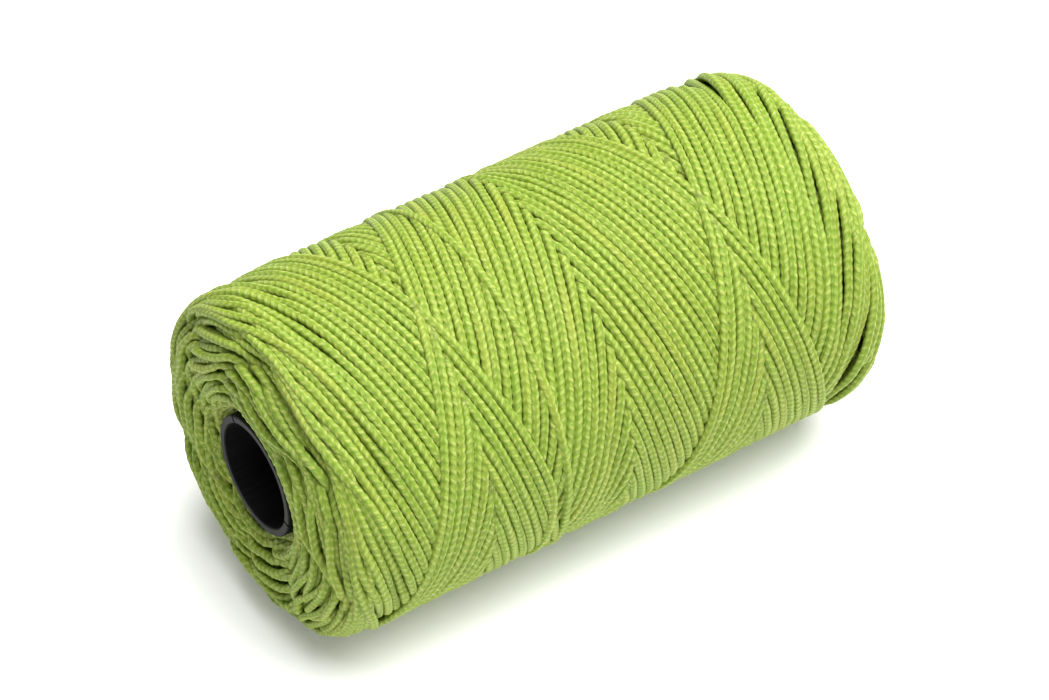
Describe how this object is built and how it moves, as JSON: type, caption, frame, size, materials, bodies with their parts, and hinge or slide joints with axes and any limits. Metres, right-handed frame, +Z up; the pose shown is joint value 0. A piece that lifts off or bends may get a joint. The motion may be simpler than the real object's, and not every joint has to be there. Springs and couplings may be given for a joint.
{
  "type": "braided line roll",
  "caption": "Roll of braided line, cross-wound without flanges on a plain plastic tube with an open bore, lying on its side.",
  "frame": {"origin": "centre of the tube's bore at mid-length, which is also the centre of the winding", "axes": "+Y along the bore, away from the nicked end of the tube; +Z up as the roll lies on its side"},
  "size_m": [0.078, 0.1428, 0.078],
  "materials": {
    "tube_plastic": "moulded, slightly satin, dark grey-black",
    "braided_line": "lime green braided synthetic line with a light sheen"
  },
  "bodies": {
    "root": {"core_tube": "tube_plastic", "line_winding": "braided_line"}
  },
  "joints": []
}
